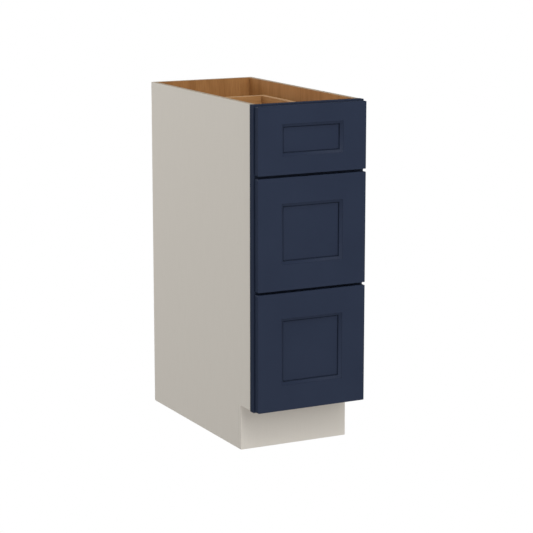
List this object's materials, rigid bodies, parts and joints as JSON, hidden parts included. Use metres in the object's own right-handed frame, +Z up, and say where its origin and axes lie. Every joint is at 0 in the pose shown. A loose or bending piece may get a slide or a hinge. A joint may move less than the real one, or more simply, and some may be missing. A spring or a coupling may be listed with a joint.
{
  "type": "bathroom vanity cabinet",
  "caption": "Narrow bathroom vanity base cabinet with stacked shaker drawers on full-extension slides, a face frame, pale end panels, an open top and a recessed toe kick.",
  "frame": {"origin": "middle of the bounding box's base, where the cabinet stands on the floor", "axes": "+Z up, along the height; -Y out of the drawer fronts; +X to the right of a person who faces the fronts"},
  "size_m": [0.3048, 0.6286, 0.8763],
  "materials": {
    "navy_paint": "satin sprayed paint on wood",
    "greige_laminate": "matt warm grey laminate on plywood",
    "maple_plywood": "clear-coated maple plywood",
    "solid_maple": "clear-coated solid maple",
    "zinc_plated_steel": "bright zinc plating"
  },
  "bodies": {
    "cabinet": {"left_end_panel": "greige_laminate", "right_end_panel": "greige_laminate", "back_panel": "maple_plywood", "bottom_panel": "maple_plywood", "toe_kick": "greige_laminate", "left_stile": "navy_paint", "right_stile": "navy_paint", "top_rail": "navy_paint", "upper_middle_rail": "navy_paint", "lower_middle_rail": "navy_paint", "bottom_rail": "navy_paint", "top_slide_fixed_left": "zinc_plated_steel", "top_slide_fixed_right": "zinc_plated_steel", "middle_slide_fixed_left": "zinc_plated_steel", "middle_slide_fixed_right": "zinc_plated_steel", "bottom_slide_fixed_left": "zinc_plated_steel", "bottom_slide_fixed_right": "zinc_plated_steel"},
    "top_drawer": {"top_front_stile_left": "navy_paint", "top_front_stile_right": "navy_paint", "top_front_rail_lower": "navy_paint", "top_front_rail_upper": "navy_paint", "top_front_panel": "navy_paint", "top_box_side_left": "solid_maple", "top_box_side_right": "solid_maple", "top_box_front": "solid_maple", "top_box_back": "solid_maple", "top_box_bottom": "maple_plywood", "top_slide_runner_left": "zinc_plated_steel", "top_slide_runner_right": "zinc_plated_steel"},
    "top_slide_middle_left": {"top_slide_middle_left": "zinc_plated_steel"},
    "top_slide_middle_right": {"top_slide_middle_right": "zinc_plated_steel"},
    "middle_drawer": {"middle_front_stile_left": "navy_paint", "middle_front_stile_right": "navy_paint", "middle_front_rail_lower": "navy_paint", "middle_front_rail_upper": "navy_paint", "middle_front_panel": "navy_paint", "middle_box_side_left": "solid_maple", "middle_box_side_right": "solid_maple", "middle_box_front": "solid_maple", "middle_box_back": "solid_maple", "middle_box_bottom": "maple_plywood", "middle_slide_runner_left": "zinc_plated_steel", "middle_slide_runner_right": "zinc_plated_steel"},
    "middle_slide_middle_left": {"middle_slide_middle_left": "zinc_plated_steel"},
    "middle_slide_middle_right": {"middle_slide_middle_right": "zinc_plated_steel"},
    "bottom_drawer": {"bottom_front_stile_left": "navy_paint", "bottom_front_stile_right": "navy_paint", "bottom_front_rail_lower": "navy_paint", "bottom_front_rail_upper": "navy_paint", "bottom_front_panel": "navy_paint", "bottom_box_side_left": "solid_maple", "bottom_box_side_right": "solid_maple", "bottom_box_front": "solid_maple", "bottom_box_back": "solid_maple", "bottom_box_bottom": "maple_plywood", "bottom_slide_runner_left": "zinc_plated_steel", "bottom_slide_runner_right": "zinc_plated_steel"},
    "bottom_slide_middle_left": {"bottom_slide_middle_left": "zinc_plated_steel"},
    "bottom_slide_middle_right": {"bottom_slide_middle_right": "zinc_plated_steel"}
  },
  "joints": [
    {"name": "top_drawer_slide", "type": "slide", "parent": "cabinet", "child": "top_drawer", "axis": [0, -1, 0], "range_m": [0, 0.45]},
    {"name": "top_slide_middle_left_travel", "type": "slide", "parent": "cabinet", "child": "top_slide_middle_left", "axis": [0, -1, 0], "range_m": [0, 0.225]},
    {"name": "top_slide_middle_right_travel", "type": "slide", "parent": "cabinet", "child": "top_slide_middle_right", "axis": [0, -1, 0], "range_m": [0, 0.225]},
    {"name": "middle_drawer_slide", "type": "slide", "parent": "cabinet", "child": "middle_drawer", "axis": [0, -1, 0], "range_m": [0, 0.45]},
    {"name": "middle_slide_middle_left_travel", "type": "slide", "parent": "cabinet", "child": "middle_slide_middle_left", "axis": [0, -1, 0], "range_m": [0, 0.225]},
    {"name": "middle_slide_middle_right_travel", "type": "slide", "parent": "cabinet", "child": "middle_slide_middle_right", "axis": [0, -1, 0], "range_m": [0, 0.225]},
    {"name": "bottom_drawer_slide", "type": "slide", "parent": "cabinet", "child": "bottom_drawer", "axis": [0, -1, 0], "range_m": [0, 0.45]},
    {"name": "bottom_slide_middle_left_travel", "type": "slide", "parent": "cabinet", "child": "bottom_slide_middle_left", "axis": [0, -1, 0], "range_m": [0, 0.225]},
    {"name": "bottom_slide_middle_right_travel", "type": "slide", "parent": "cabinet", "child": "bottom_slide_middle_right", "axis": [0, -1, 0], "range_m": [0, 0.225]}
  ],
  "couplings": [
    {"joint": "top_slide_middle_left_travel", "follows": "top_drawer_slide", "ratio": 0.5},
    {"joint": "top_slide_middle_right_travel", "follows": "top_drawer_slide", "ratio": 0.5},
    {"joint": "middle_slide_middle_left_travel", "follows": "middle_drawer_slide", "ratio": 0.5},
    {"joint": "middle_slide_middle_right_travel", "follows": "middle_drawer_slide", "ratio": 0.5},
    {"joint": "bottom_slide_middle_left_travel", "follows": "bottom_drawer_slide", "ratio": 0.5},
    {"joint": "bottom_slide_middle_right_travel", "follows": "bottom_drawer_slide", "ratio": 0.5}
  ]
}
